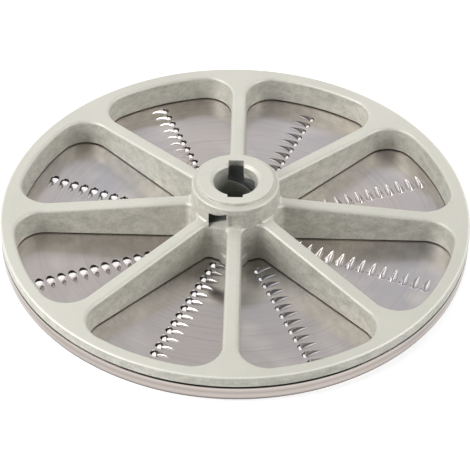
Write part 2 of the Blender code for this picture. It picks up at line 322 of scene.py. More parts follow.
def opaque(colour: Sequence[float], level: float = 1.0) -> tuple[float, float, float, float]:
    """Colour with full opacity, made lighter or darker by a level."""
    return (colour[0] * level, colour[1] * level, colour[2] * level, 1.0)


def start_material(name: str) -> tuple[bpy.types.Material, NodeGraph]:
    """Start a material on an empty graph.

    Args:
        name: Name of the material.

    Returns:
        The material and its graph.
    """
    material = bpy.data.materials.new(name)
    material.use_nodes = True
    return material, NodeGraph(material.node_tree)


@dataclass(frozen=True)
class CastAlloyFinish:
    """Tumbled aluminium casting: pale, faintly warm, satin, with a fine sandy skin."""

    colour: Colour = (0.60, 0.588, 0.525)
    shade: Colour = (0.36, 0.358, 0.305)
    # Near-black of the painted shade inside the socket and in the gap above the skirt.
    recess_shade: Colour = (0.085, 0.10, 0.097)
    # Pale colour of the painted highlight on the rim's outer top edge.
    painted_light_tone: Colour = (0.80, 0.79, 0.73)
    metallic: float = 0.3
    roughness: float = 0.52
    cloud_scale: float = 28.0
    mottle_scale: float = 190.0
    grit_scale: float = 950.0
    skin_scale: float = 2600.0
    skin_height: float = 0.06 * MM
    window_top: float = 31.2 * MM
    window_depth: float = 14.5 * MM
    window_half: float = 11.7 * MM
    socket_r: float = 12.55 * MM
    mouth_top: float = 32.5 * MM
    slot_r: float = 10.2 * MM
    slot_top: float = 33.8 * MM
    slot_half: float = 3.6 * MM
    seam_top: float = 10.56 * MM
    seam_r: float = 98.5 * MM
    edge_r: float = 101.55 * MM
    edge_low: float = 15.15 * MM

    def socket_shade(self, place: tuple[Signal, Signal, Signal], radius: Signal) -> Signal:
        """Share of painted shade inside the socket, its keyways, its catches and its windows, where
        the deep hollows fall dark.

        Args:
            place: X, Y and Z of the surface.
            radius: Distance from the axis.

        Returns:
            The share, from 0 to 0.9.
        """
        x, y, z = place
        low = z.beneath(self.window_top, 2500.0)
        window = y.absolute().beneath(self.window_depth, 2500.0) * low
        window = window * x.absolute().beneath(self.window_half, 4000.0)
        inside = (radius.beneath(self.socket_r, 2500.0) + window).clamped(0.0, 1.0)
        bore = z.beneath(self.mouth_top, 50.0)
        slot = radius.above(self.slot_r, 2000.0) * z.beneath(self.slot_top, 1600.0)
        keyway = (x.absolute().beneath(self.slot_half, 4000.0) + low).clamped(0.0, 1.0)
        return inside * (bore * 0.75 + slot * keyway * 0.82).clamped(0.0, 0.9)

    def material(self) -> bpy.types.Material:
        """Build the material.

        Returns:
            The finished material.
        """
        material, graph = start_material("cast_alloy_finish")
        place = graph.place()
        x, y, z = graph.parts(place)
        radius = (x * x + y * y) ** 0.5
        cloud = graph.noise(place, self.cloud_scale, 3.0, 0.55)
        stretched = graph.scaled_vector(place, (1.0, 1.0, 1.6))
        mottle = graph.noise(stretched, self.mottle_scale, 5.0, 0.72)
        speckle = graph.noise(place, self.grit_scale, 3.0, 0.7)
        upright = graph.steepness()
        # Mottled stains on the upright walls. Because only walls get them, they also darken the
        # walls as painted shade.
        wall_stain_and_shade = mottle.above(0.4, 3.8) * (upright - 0.5).clamped(0.0, 0.4) * 1.5
        grit = ((speckle - 0.45) * 1.6).clamped(0.0, 0.5) * (upright * 0.75 + 0.25)
        # Painted shade: the casting is made darker towards its front and right, where less light
        # falls.
        front_shade = ((x * 0.6 - y * 0.8) * 4.6).clamped(0.0, 0.46)
        cloud_and_front_shade = ((cloud - 0.5) * 0.9 + 0.12).clamped(0.0, 1.0) + front_shade
        tone = graph.blend(opaque(self.colour), opaque(self.shade), cloud_and_front_shade * 0.5 + wall_stain_and_shade + grit)
        # Painted shadow: the casting's side in the narrow gap above the plate's skirt is made
        # near-black.
        seam_shadow = z.beneath(self.seam_top, 20000.0) * radius.above(self.seam_r, 2000.0)
        tone = graph.blend(tone, opaque(self.recess_shade), seam_shadow * 0.85)
        # Painted shade deep inside the socket, keyways, catches and windows.
        tone = graph.blend(tone, opaque(self.recess_shade), self.socket_shade((x, y, z), radius))
        # Painted highlight along the rounded outer edge of the rim's top.
        edge = radius.above(self.edge_r, 5000.0) * z.above(self.edge_low, 5000.0)
        tone = graph.blend(tone, opaque(self.painted_light_tone), edge * 0.5)
        skin = graph.noise(place, self.skin_scale, 2.0, 0.6)
        rough = self.roughness + (skin - 0.5) * 0.12 + wall_stain_and_shade * 0.1
        graph.surface(
            {
                "Base Color": tone,
                "Metallic": self.metallic,
                "Roughness": rough.clamped(0.2, 0.9),
                "Normal": graph.relief(0.5, self.skin_height, skin + mottle * 2.0),
            }
        )
        return material


@dataclass(frozen=True)
class BrushedSteelFinish:
    """Stainless sheet brushed in circles about the disc's axis."""

    colour: Colour = (0.63, 0.58, 0.56)
    cool: Colour = (0.57, 0.555, 0.58)
    bright: Colour = (0.80, 0.745, 0.70)
    # Near-black of the painted shade on the cut walls of the teeth's holes.
    hole_shade: Colour = (0.05, 0.048, 0.045)
    # Colour of the painted reflections and shade on the skirt.
    painted_light_tone: Colour = (0.335, 0.295, 0.27)
    # Painted reflections and shade on the skirt by height: light and dark bands, dark at the foot
    # bend and at the top under the casting.
    skirt_reflection_bands: tuple[tuple[float, float], ...] = (
        (0.24, 0.1),
        (0.355, 0.22),
        (0.42, 1.15),
        (0.50, 1.4),
        (0.66, 0.9),
        (0.84, 1.5),
        (0.866, 1.2),
        (0.876, 0.08),
    )
    bands_per_metre: float = 90.0
    skirt_r: float = 99.6 * MM
    foot_r: float = 100.8 * MM
    foot_top: float = 4.3 * MM
    shear_top: float = 2.98 * MM
    shear_front: float = 0.3 * MM
    shear_back: float = 2.6 * MM
    roughness: float = 0.17
    anisotropy: float = 0.6
    grain_scale: float = 2600.0
    grain_height: float = 0.012 * MM
    grain_turn: float = 1.2 * MM
    patch_scale: float = 16.0
    sheen_scale: float = 31.0

    def hole_wall_shade(self, radius: Signal, turn: Signal, z: Signal, steep: Signal) -> Signal:
        """Mask of the cut walls at the round end of the teeth's holes, which are painted near-black
        as shade.

        Args:
            radius: Distance from the axis.
            turn: Angle about the axis.
            z: Height.
            steep: How steep the surface is.

        Returns:
            The mask.
        """
        part = math.tau / GratingPlate.rows
        ahead = radius * ((turn + math.tau).modulo(part) - part / 2).sine()
        nose = ahead.beneath(self.shear_front, 5000.0) * ahead.above(-self.shear_back, 9000.0)
        return nose * z.beneath(self.shear_top, 40000.0) * steep.above(0.1, 6.0)

    def material(self) -> bpy.types.Material:
        """Build the material.

        Returns:
            The finished material.
        """
        material, graph = start_material("brushed_steel_finish")
        place = graph.place()
        x, y, z = graph.parts(place)
        radius = (x * x + y * y) ** 0.5
        turn = y.angle_to(x)
        rings = {0: radius, 1: turn * self.grain_turn, 2: z}
        across = graph.node("ShaderNodeCombineXYZ", inputs=rings)
        grain = graph.noise(across, self.grain_scale, 3.0, 0.7)
        streak = graph.noise(across, self.grain_scale * 0.28, 2.0, 0.6)
        patch = graph.noise(place, self.patch_scale, 1.0, 0.5)
        tone = graph.blend(opaque(self.colour), opaque(self.cool), patch.above(0.42, 3.5))
        flat = graph.scaled_vector(place, (1.0, 1.0, 0.0))
        sheen = graph.noise(flat, self.sheen_scale, 2.0, 0.55)
        tone = graph.blend(tone, opaque(self.bright), ((sheen - 0.5) * 4.0).clamped(0.0, 0.8))
        brushed = (grain + streak).above(1.0, 1.2)
        tone = graph.blend(tone, opaque(self.colour, 0.72), brushed)
        # Painted shade: the cut walls at the far end of the teeth's holes are made near-black.
        wall = self.hole_wall_shade(radius, turn, z, graph.steepness())
        tone = graph.blend(tone, opaque(self.hole_shade), wall)
        # Painted reflections and shade: bands across the skirt by height.
        skirt_reflections = [(spot, opaque(self.painted_light_tone, level)) for spot, level in self.skirt_reflection_bands]
        skirt_light = graph.node("ShaderNodeValToRGB", {"stops": skirt_reflections}, {0: z * self.bands_per_metre})
        tone = graph.blend(tone, skirt_light, radius.above(self.skirt_r, 1500.0) * 0.85)
        foot = z.beneath(self.foot_top, 2500.0) * radius.above(self.foot_r, 1500.0)
        rough = self.roughness + (grain - 0.5) * 0.14 + foot * 0.5
        graph.surface(
            {
                "Base Color": tone,
                "Metallic": 1.0 - foot * 0.7,
                "Roughness": rough.clamped(0.08, 0.7),
                "Anisotropic": self.anisotropy,
                "Normal": graph.relief(0.35, self.grain_height, grain + streak),
            }
        )
        return material


@dataclass(frozen=True)
class TurnedSteelFinish:
    """Plain stainless steel turned on a lathe, for the screws."""

    colour: Colour = (0.60, 0.59, 0.58)
    roughness: float = 0.3
    line_scale: float = 1500.0

    def material(self) -> bpy.types.Material:
        """Build the material.

        Returns:
            The finished material.
        """
        material, graph = start_material("turned_steel_finish")
        stretched = graph.scaled_vector(graph.place(), (1.0, 1.0, 6.0))
        lines = graph.noise(stretched, self.line_scale, 2.0, 0.6)
        rough = self.roughness + (lines - 0.5) * 0.2
        graph.surface(
            {
                "Base Color": graph.blend(opaque(self.colour), opaque(self.colour, 0.8), lines),
                "Metallic": 1.0,
                "Roughness": rough.clamped(0.1, 0.8),
            }
        )
        return material


def arc(centre: Point, radius: float, start: float, end: float, steps: int) -> list[Point]:
    """Points along an arc.

    Args:
        centre: Centre of the arc.
        radius: Its radius.
        start: First angle, in degrees.
        end: Last angle, in degrees.
        steps: Number of chords.

    Returns:
        The points from the first angle to the last.
    """
    angles = [math.radians(start + (end - start) * i / steps) for i in range(steps + 1)]
    return [(centre[0] + radius * math.cos(a), centre[1] + radius * math.sin(a)) for a in angles]


def make_object(name: str, bm: bmesh.types.BMesh, outward: bool = True) -> bpy.types.Object:
    """Turn a bmesh into an object of the scene.

    Args:
        name: Name of the object.
        bm: The mesh, which is freed.
        outward: Whether the faces are turned to point outwards.

    Returns:
        The new object.
    """
    if outward:
        bmesh.ops.recalc_face_normals(bm, faces=bm.faces)
    mesh = bpy.data.meshes.new(name)
    bm.to_mesh(mesh)
    bm.free()
    piece = bpy.data.objects.new(name, mesh)
    bpy.context.scene.collection.objects.link(piece)
    return piece


def rounded(radius: float, height: float, edge: float, steps: int) -> list[Point]:
    """Round the outer top edge of a turned form.

    Args:
        radius: Radius of the form's side.
        height: Height of its top.
        edge: Radius of the rounding.
        steps: Number of chords.

    Returns:
        The points from the top to the side.
    """
    return arc((radius - edge, height - edge), edge, 90, 0, steps)


def revolve(
    bm: bmesh.types.BMesh, profile: Sequence[Point], segments: int, turn: float = 0.0
) -> None:
    """Turn a profile of (radius, height) points about Z, with a fan where it meets the axis.

    Args:
        bm: Mesh that takes the surface.
        profile: Points from the top of the outer side to its bottom.
        segments: Number of flats round the axis.
        turn: Angle of the first flat.
    """
    rings: list[list[bmesh.types.BMVert]] = []
    angles = [turn + math.tau * i / segments for i in range(segments)]
    for radius, height in profile:
        if radius < ON_AXIS:
            rings.append([bm.verts.new((0, 0, height))])
            continue
        spots = [(radius * math.cos(a), radius * math.sin(a), height) for a in angles]
        rings.append([bm.verts.new(spot) for spot in spots])
    for upper, lower in zip(rings, rings[1:]):
        for i in range(segments):
            j = (i + 1) % segments
            left = [upper[i % len(upper)], lower[i % len(lower)]]
            right = [lower[j % len(lower)], upper[j % len(upper)]]
            distinct = list(dict.fromkeys(left + right))
            if len(distinct) > 2:
                bm.faces.new(distinct)


def weave(
    bm: bmesh.types.BMesh,
    first: Sequence[bmesh.types.BMVert],
    second: Sequence[bmesh.types.BMVert],
) -> None:
    """Fill the strip between two lines of vertices.

    Args:
        bm: Mesh that takes the faces.
        first: One side of the strip.
        second: Its other side, with as many vertices.
    """
    for i in range(len(first) - 1):
        corners = list(dict.fromkeys((first[i], second[i], second[i + 1], first[i + 1])))
        if len(corners) > 2:
            bm.faces.new(corners)


def loft(bm: bmesh.types.BMesh, rings: Sequence[Sequence[bmesh.types.BMVert]]) -> None:
    """Skin closed loops one after another and close both ends.

    Args:
        bm: Mesh that takes the faces.
        rings: The loops, each with as many vertices.
    """
    for first, second in zip(rings, rings[1:]):
        for i in range(len(first)):
            j = (i + 1) % len(first)
            bm.faces.new((first[i], first[j], second[j], second[i]))
    bm.faces.new(rings[0][::-1])
    bm.faces.new(rings[-1])


def add_box(bm: bmesh.types.BMesh, size: Vector, place: Matrix) -> None:
    """Add a box of three sizes at a placement."""
    bmesh.ops.create_cube(bm, size=1.0, matrix=place @ Matrix.Diagonal((*size, 1.0)))


def round_edges(
    bm: bmesh.types.BMesh, edges: Sequence[bmesh.types.BMEdge], radius: float
) -> None:
    """Round edges with three flats each."""
    bmesh.ops.bevel(
        bm,
        geom=edges,
        offset=radius,
        segments=3,
        profile=0.5,
        affect="EDGES",
        clamp_overlap=True,
    )


def settle_mesh(piece: bpy.types.Object) -> None:
    """Replace a piece's mesh by what its modifiers make of it, and drop the modifiers.

    Args:
        piece: The piece to settle.
    """
    bpy.context.view_layer.update()
    graph = bpy.context.evaluated_depsgraph_get()
    mesh = bpy.data.meshes.new_from_object(piece.evaluated_get(graph))
    piece.modifiers.clear()
    piece.data = mesh


def combine(piece: bpy.types.Object, steps: Sequence[tuple[bpy.types.Object, Join]]) -> None:
    """Add tools to a piece or cut them from it, in order, and remove the tools.

    Args:
        piece: The piece to work on.
        steps: The tools and how each one meets the piece.
    """
    for tool, join in steps:
        modifier = piece.modifiers.new(tool.name, "BOOLEAN")
        modifier.operation = join.value
        modifier.solver = "EXACT"
        modifier.object = tool
    settle_mesh(piece)
    for tool, _ in steps:
        bpy.data.objects.remove(tool, do_unlink=True)


def smooth(piece: bpy.types.Object, degrees: float) -> None:
    """Shade a piece smooth, but for edges that turn by more than an angle."""
    piece.data.shade_smooth()
    piece.data.set_sharp_from_angle(angle=math.radians(degrees))


def coat(piece: bpy.types.Object, finish: bpy.types.Material) -> None:
    """Give a piece one material."""
    piece.data.materials.clear()
    piece.data.materials.append(finish)


@dataclass
class SpokedCasting:
    """The aluminium casting: rim, eight ribs, and the hub with its bayonet socket."""

    low: float = 3.45 * MM
    outer_r: float = OUTER_R
    rim_top: float = 15.55 * MM
    rim_edge: float = 0.8 * MM
    step: float = 10.6 * MM
    step_edge: float = 0.25 * MM
    step_fillet: float = 0.2 * MM
    wrap_r: float = 101.2 * MM
    wrap_edge: float = 1.6 * MM
    pocket_r: float = 96.2 * MM
    slope_r: float = 82.0 * MM
    slope_blend: float = 3.0 * MM
    slope_lift: float = 0.08 * MM
    hub_r: float = 19.0 * MM
    hub_foot_r: float = 19.3 * MM
    hub_gap: float = 0.03 * MM
    flare: float = 1.3 * MM
    rib_high: float = 22.15 * MM
    rib_w: float = 7.2 * MM
    edge_r: float = 1.5 * MM
    edge_share: float = 0.93
    clear: float = 0.25 * MM
    lid: float = 3.0 * MM
    trim: float = 0.3 * MM
    corner_r: float = 12.0 * MM
    root_r: float = 3.3 * MM
    fade_power: float = 1.6
    draft: float = math.tan(math.radians(2.0))
    hub_top: float = 34.0 * MM
    land_r: float = 16.5 * MM
    land_edge: float = 0.4 * MM
    shoulder_top: float = 32.1 * MM
    shoulder_edge: float = 0.8 * MM
    shoulder_fillet: float = 0.35 * MM
    bore_r: float = 9.65 * MM
    bore_floor: float = 7.95 * MM
    bore_fillet: float = 0.6 * MM
    lead_in: float = 1.3 * MM
    lead_foot: Point = (0.15 * MM, 0.3 * MM)
    lip: tuple[Point, ...] = (
        (1.2 * MM, 1.0 * MM),
        (0.35 * MM, 0.02 * MM),
        (0.0, -0.12 * MM),
    )
    key_w: float = 6.7 * MM
    key_r: float = 12.3 * MM
    tool_edge: float = 0.5 * MM
    overlap: float = 2.0 * MM
    catch_top: float = 28.0 * MM
    catch_fillet: float = 0.4 * MM
    ramp_mid: float = 23.45 * MM
    ramp_lead: float = 28.6 * MM
    catch_start: float = 22.0
    catch_turn: float = 60.0
    window_w: float = 7.7 * MM
    window_gap: float = 0.1 * MM
    window_in: float = 6.5 * MM
    window_neck: float = 14.6 * MM
    window_fall: float = 1.75 * MM
    window_rise: float = 2.1 * MM
    window_sag: float = 0.45 * MM
    window_edge: float = 0.45 * MM
    window_reach: float = 0.35 * MM
    window_sharp: float = 0.7
    window_x: Point = (-11.6 * MM, -3.2 * MM)
    window_y: float = -14.5 * MM
    window_z: Point = (19.0 * MM, 30.5 * MM)
    flat_size: tuple[float, float, float] = (6.9 * MM, 2.0 * MM, 6.0 * MM)
    flat_x: float = 0.95 * MM
    flat_cut: float = 0.62 * MM
    flat_low: float = 23.0 * MM
    boss_r: float = 6.2 * MM
    boss_place: float = BOSS_PLACE
    boss_low: float = 3.3 * MM
    boss_top: float = 8.2 * MM
    boss_edge: float = 1.3 * MM
    boss_spread: float = 0.1 * MM
    hole_r: float = SCREW_HOLE_R
    hole_mid: float = 7.65 * MM
    hole_deep: float = 11.3 * MM
    segments: int = 288
    hub_segments: int = 144
    boss_segments: int = 48
    hole_segments: int = 32
    rim_steps: int = 10
    corner_steps: int = 16
    edge_steps: int = 6
    wall_steps: int = 8
    catch_steps: int = 30
    window_steps: int = 8
    sharp_degrees: float = 34.0

    def rib_top(self, radius: float) -> float:
        """Height of the ribs at a radius."""
        fall = (self.rib_high - self.rim_top) / (self.slope_r - self.hub_r)
        return self.rim_top + fall * max(0.0, self.slope_r - radius)

    def body(self) -> bpy.types.Object:
        """Turn the solid that the pockets and the socket are cut from.

        Returns:
            The turned body.
        """
        foot_z = self.rib_top(self.hub_foot_r)
        fillet, flare, wrap = self.shoulder_fillet, self.flare, self.wrap_edge
        slope_start = self.slope_r - self.slope_blend
        bm = bmesh.new()
        profile = [
            (0.0, self.hub_top),
            *rounded(self.land_r, self.hub_top, self.land_edge, 4),
            *arc((self.land_r + fillet, self.shoulder_top + fillet), fillet, 180, 270, 3),
            *rounded(self.hub_r, self.shoulder_top, self.shoulder_edge, 6),
            *arc((self.hub_foot_r + flare, foot_z + flare), flare, 180, 264, 6),
            (slope_start, self.rib_top(slope_start)),
            (self.slope_r, self.rim_top + self.slope_lift),
            (self.slope_r + self.slope_blend, self.rim_top),
            *rounded(self.outer_r, self.rim_top, self.rim_edge, 6),
            (self.outer_r, self.step + self.step_edge),
            (self.outer_r - self.step_edge, self.step),
            (self.wrap_r + self.step_fillet, self.step),
            (self.wrap_r, self.step - self.step_fillet),
            *arc((self.wrap_r - wrap, self.low + wrap), wrap, 0, -90, 5),
            (0.0, self.low),
        ]
        revolve(bm, profile, self.segments)
        return make_object("spoked_casting_fine", bm)

    def pocket_outline(self) -> list[tuple[Vector, Vector, float]]:
        """Foot of the pocket on +X: its points, with a direction and a share of rounding each.

        Returns:
            The closed outline, from the middle of the rim round to it again.
        """
        half = math.pi / RIBS
        along = Vector((math.cos(half), math.sin(half)))
        across = Vector((-math.sin(half), math.cos(half)))
        half_rib = self.rib_w / 2
        foot_rise = self.rib_top(self.hub_foot_r) - self.low
        wall_r = self.hub_foot_r + self.hub_gap + self.draft * foot_rise

        off = half_rib + self.corner_r
        corner = along * math.sqrt((self.pocket_r - self.corner_r) ** 2 - off**2) - across * off
        off = half_rib + self.root_r
        root = along * math.sqrt((wall_r + self.root_r) ** 2 - off**2) - across * off

        def angle_of(vector: Vector) -> float:
            return math.degrees(math.atan2(vector.y, vector.x))

        rows: list[tuple[Vector, Vector, float]] = []
        for point in arc((0, 0), self.pocket_r, 0, angle_of(corner), self.rim_steps)[:-1]:
            rows.append((Vector(point), Vector(point).normalized(), 1.0))
        corner_arc = arc(
            corner, self.corner_r, angle_of(corner), angle_of(across), self.corner_steps
        )
        for point in corner_arc:
            rows.append((Vector(point), (Vector(point) - corner).normalized(), 1.0))
        rib_foot = rows[-1][0]
        root_start = Vector(arc(root, self.root_r, angle_of(across), 0, 1)[0])
        steps = self.wall_steps
        for i in range(1, steps):
            rows.append((rib_foot.lerp(root_start, i / steps), across, 1.0))
        root_arc = arc(root, self.root_r, angle_of(across), angle_of(root) + 180, steps)
        for i, point in enumerate(root_arc):
            fade = 1.0 - (i / steps) ** self.fade_power
            rows.append((Vector(point), (Vector(point) - root).normalized(), fade))
        end = rows[-1][0]
        sweep = math.degrees(math.atan2(end.y, end.x))
        for point in arc((0, 0), wall_r, sweep, 0, 3)[1:]:
            rows.append((Vector(point), -Vector(point).normalized(), 0.0))
        mirrored = [(Vector((p.x, -p.y)), Vector((n.x, -n.y)), f) for p, n, f in rows[-2:0:-1]]
        return rows + mirrored

    def wall_at(self, level: Level, amount: float, top: float, flare: float) -> Point:
        """Height of a loop of a pocket's wall, and how far it lies outside the foot.

        Args:
            level: Which kind of loop it is.
            amount: Height above the foot, or share of the quarter turn of the edge.
            top: Height of the rib there.
            flare: Share of the rounding there.

        Returns:
            The height and the distance.
        """
        if level is Level.FOOT:
            grown = max(0.0, self.trim - amount) if amount >= 0 else self.trim - amount * 0.3
            return self.low + amount, grown
        if level is Level.EDGE:
            angle = math.radians(90 * amount)
            height = top - (1 - math.sin(angle)) * self.edge_r
            spread = flare * (1 - math.cos(angle)) * self.edge_r
            return height, self.draft * (height - self.low) + spread
        height = top + self.clear if level is Level.ABOVE else self.rib_high + self.lid
        return height, self.draft * (top - self.low) + flare * (self.edge_r + self.clear)

    def pocket_tool(self) -> bpy.types.Object:
        """Shape the eight pockets: a trimmed foot, drafted walls and a rounded top edge.

        Returns:
            The tool that cuts the pockets.
        """
        bm = bmesh.new()
        outline = self.pocket_outline()
        steps = self.edge_steps
        levels = [
            (Level.FOOT, -1.0 * MM),
            (Level.FOOT, 0.0),
            (Level.FOOT, self.trim),
            *((Level.EDGE, self.edge_share * i / steps) for i in range(steps + 1)),
            (Level.ABOVE, 0.0),
            (Level.LID, 0.0),
        ]
        for k in range(RIBS):
            turn = Matrix.Rotation((k + 0.5) * math.tau / RIBS, 3, "Z")
            rings = []
            for level, amount in levels:
                verts = []
                for point, out, flare in outline:
                    top = self.rib_top(point.length)
                    height, grown = self.wall_at(level, amount, top, flare)
                    verts.append(bm.verts.new(turn @ Vector((*(point + out * grown), height))))
                rings.append(verts)
            loft(bm, rings)
        return make_object("pocket_tool", bm)

    def boss_tool(self) -> bpy.types.Object:
        """Shape the two bosses at the foot of the hub.

        Returns:
            The tool that adds the bosses.
        """
        bm = bmesh.new()
        for side in Side:
            before = set(bm.verts)
            profile = [
                (0.0, self.boss_top),
                *rounded(self.boss_r, self.boss_top, self.boss_edge, 5),
                (self.boss_r + self.boss_spread, self.boss_low),
                (0.0, self.boss_low),
            ]
            revolve(bm, profile, self.boss_segments, math.pi / self.boss_segments)
            fresh = [vert for vert in bm.verts if vert not in before]
            bmesh.ops.translate(bm, verts=fresh, vec=(0, side.value * self.boss_place, 0))
        return make_object("boss_tool", bm)

    def ramp(self, degrees: float) -> float:
        """Height of the bayonet ramp at an angle from its keyway."""
        return self.ramp_mid + self.ramp_lead * degrees / 360

    def socket_tool(self) -> bpy.types.Object:
        """Shape the bore and its rounded lead-in.

        Returns:
            The tool that cuts the socket.
        """
        bm = bmesh.new()
        mouth_r = self.bore_r + self.lead_in
        lead_end = self.hub_top - self.lead_in
        profile = [
            (0.0, self.hub_top + MM),
            *((mouth_r + out, self.hub_top + up) for out, up in self.lip),
            (self.bore_r + self.lead_foot[0], lead_end),
            (self.bore_r, lead_end - self.lead_foot[1]),
            (self.bore_r, self.bore_floor + self.bore_fillet),
            (self.bore_r - self.bore_fillet, self.bore_floor),
            (0.0, self.bore_floor),
        ]
        revolve(bm, profile, self.hub_segments, math.pi / self.hub_segments)
        return make_object("socket_tool", bm)

    def key_tool(self) -> bpy.types.Object:
        """Shape the two keyways.

        Returns:
            The tool that cuts the keyways.
        """
        bm = bmesh.new()
        low = (self.ramp(self.catch_start) + self.catch_top) / 2
        size = Vector((self.key_w, self.key_r * 2, self.hub_top + MM - low))
        add_box(bm, size, Matrix.Translation((0, 0, low + size.z / 2)))
        edges = [e for e in bm.edges if abs(e.verts[0].co.z - e.verts[1].co.z) > MM]
        round_edges(bm, edges, self.tool_edge)
        return make_object("key_tool", bm)

    def catch_tool(self) -> bpy.types.Object:
        """Shape the two catches, with a ramp for a floor.

        Returns:
            The tool that cuts the catches.
        """
        bm = bmesh.new()
        steps = self.catch_steps
        span = self.catch_start + self.catch_turn
        for side in Side:
            rings = []
            for i in range(steps + 1):
                degrees = self.catch_start - span * i / steps
                angle = math.radians(degrees + 90 * side.value)
                flat = Vector((math.cos(angle), math.sin(angle)))
                floor = self.ramp(degrees)
                section = [
                    (self.bore_r - self.overlap, floor),
                    (self.key_r - self.catch_fillet, floor),
                    (self.key_r, floor + self.catch_fillet),
                    (self.key_r, self.catch_top),
                    (self.bore_r - self.overlap, self.catch_top),
                ]
                rings.append([bm.verts.new((flat.x * r, flat.y * r, z)) for r, z in section])
            loft(bm, rings)
        return make_object("catch_tool", bm)

    def window_tool(self) -> bpy.types.Object:
        """Shape the two windows, each with the flared lip that the side core leaves.

        Returns:
            The tool that cuts the windows.
        """
        bm = bmesh.new()
        right = -self.key_w / 2 - self.window_gap
        left = right - self.window_w
        places = [i / self.window_steps for i in range(self.window_steps + 1)]
        depths = (
            (-self.window_in, 0.0),
            (-self.window_neck, 0.0),
            (-self.hub_r - self.overlap, self.window_fall),
        )
        for side in Side:
            flip = Matrix.Rotation(0 if side is Side.FRONT else math.pi, 3, "Z")
            rings = []
            for depth, fall in depths:
                section = []
                for share in places:
                    x = left + (right - left) * share
                    angle = -math.degrees(math.asin(-x / self.hub_r))
                    section.append((x, self.ramp(angle) - fall))
                for share in reversed(places):
                    x = left + (right - left) * share
                    rise = self.window_rise * (share - 0.25)
                    sag = self.window_sag * math.sin(math.pi * share)
                    section.append((x, self.catch_top + rise - sag))
                rings.append([bm.verts.new(flip @ Vector((x, depth, z))) for x, z in section])
            loft(bm, rings)
        return make_object("window_tool", bm)

    def flat_tool(self) -> bpy.types.Object:
        """Shape the shallow flat that the side core leaves in front of each keyway.

        Returns:
            The tool that cuts the flats.
        """
        bm = bmesh.new()
        size = Vector(self.flat_size)
        depth = self.flat_cut - self.hub_r - size.y / 2
        centre = Vector((self.flat_x, depth, self.flat_low + size.z / 2))
        for side in Side:
            flip = Matrix.Rotation(0 if side is Side.FRONT else math.pi, 4, "Z")
            add_box(bm, size, flip @ Matrix.Translation(centre))
        edges = [e for e in bm.edges if abs(e.verts[0].co.y - e.verts[1].co.y) > MM]
        round_edges(bm, edges, self.tool_edge)
        return make_object("flat_tool", bm)

    def hole_tool(self) -> bpy.types.Object:
        """Shape the two holes for the plate's screws.

        Returns:
            The tool that cuts the holes.
        """
        bm = bmesh.new()
        for side in Side:
            spot = Matrix.Translation((0, side.value * self.boss_place, self.hole_mid))
            turn = Matrix.Rotation(math.pi / self.hole_segments, 4, "Z")
            bmesh.ops.create_cone(
                bm,
                cap_ends=True,
                segments=self.hole_segments,
                radius1=self.hole_r,
                radius2=self.hole_r,
                depth=self.hole_deep,
                matrix=spot @ turn,
            )
        return make_object("hole_tool", bm)

    def round_window(self, bm: bmesh.types.BMesh) -> None:
        """Round the outer edges of the windows.

        Args:
            bm: The cut casting.
        """
        chosen = []
        low_x, high_x = self.window_x
        low_z, high_z = self.window_z
        for edge in bm.edges:
            if len(edge.link_faces) != 2 or edge.calc_length() < SHORT_EDGE:
                continue
            middle = (edge.verts[0].co + edge.verts[1].co) / 2
            spot = middle if middle.y < 0 else Vector((-middle.x, -middle.y, middle.z))
            near = low_x < spot.x < high_x and spot.y < self.window_y and low_z < spot.z < high_z
            on_wall = abs(spot.to_2d().length - self.hub_r) < self.window_reach
            if near and on_wall and edge.calc_face_angle(0.0) > self.window_sharp:
                chosen.append(edge)
        LOG.info("window edges to round: %d", len(chosen))
        round_edges(bm, chosen, self.window_edge)

    def build(self, finish: bpy.types.Material) -> bpy.types.Object:
        """Make the casting and dress it.

        Args:
            finish: Material of the casting.

        Returns:
            The finished piece.
        """
        piece = self.body()
        steps = (
            (self.pocket_tool(), Join.CUT),
            (self.boss_tool(), Join.ADD),
            (self.key_tool(), Join.CUT),
            (self.catch_tool(), Join.CUT),
            (self.window_tool(), Join.CUT),
            (self.socket_tool(), Join.CUT),
            (self.flat_tool(), Join.CUT),
            (self.hole_tool(), Join.CUT),
        )
        combine(piece, steps)
        bm = bmesh.new()
        bm.from_mesh(piece.data)
        bmesh.ops.remove_doubles(bm, verts=bm.verts, dist=MERGE)
        self.round_window(bm)
        bm.to_mesh(piece.data)
        bm.free()
        smooth(piece, self.sharp_degrees)
        weighted = piece.modifiers.new("weighted", "WEIGHTED_NORMAL")
        weighted.keep_sharp = True
        settle_mesh(piece)
        coat(piece, finish)
        return piece


